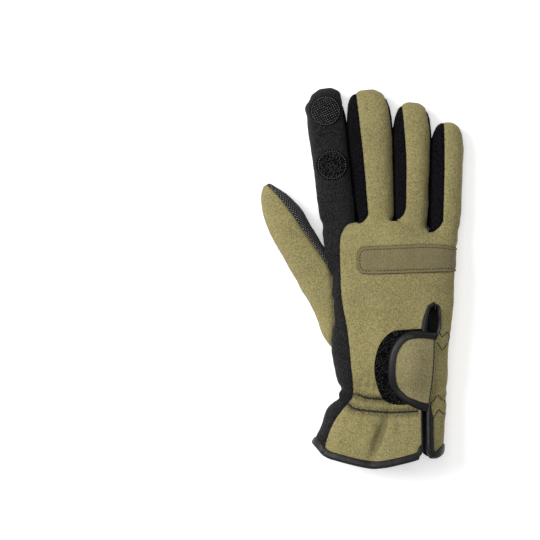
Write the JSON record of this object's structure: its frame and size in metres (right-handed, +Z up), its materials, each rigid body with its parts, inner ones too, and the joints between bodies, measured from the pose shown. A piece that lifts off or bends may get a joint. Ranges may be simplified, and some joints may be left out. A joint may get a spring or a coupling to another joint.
{
  "type": "fishing glove",
  "caption": "Right-hand neoprene fishing glove with hollow fingers and thumb, touch patches, knuckle band, slit wrist and a D-shaped closing tab, lying palm down.",
  "frame": {"origin": "middle of the bounding box's bottom face, where the glove lies on the table", "axes": "+Y towards the fingertips, +X towards the little finger's side, +Z up, out of the back of the hand"},
  "size_m": [0.1414, 0.267, 0.0435],
  "materials": {
    "olive_neoprene": "matte heathered knit on neoprene",
    "black_neoprene": "matte black knit on neoprene",
    "grip_cloth": "black cloth printed with small pale grip dots",
    "band_cloth": "smooth olive neoprene",
    "hook_tape": "woven black hook tape",
    "loop_tape": "fuzzy black loop tape",
    "edge_tape": "satin black binding tape"
  },
  "bodies": {
    "root": {"back_panel": "olive_neoprene", "palm_panel": "black_neoprene", "palm_grip": "grip_cloth", "fourchette_index_middle": "black_neoprene", "fourchette_middle_ring": "black_neoprene", "fourchette_ring_little": "black_neoprene", "thumb_back": "olive_neoprene", "thumb_palm": "grip_cloth", "knuckle_band": "band_cloth", "tip_dot": "hook_tape", "knuckle_dot": "loop_tape", "loop_patch": "loop_tape", "wrist_tab": "olive_neoprene", "tab_tape": "edge_tape", "edge_tape": "edge_tape"}
  },
  "joints": []
}
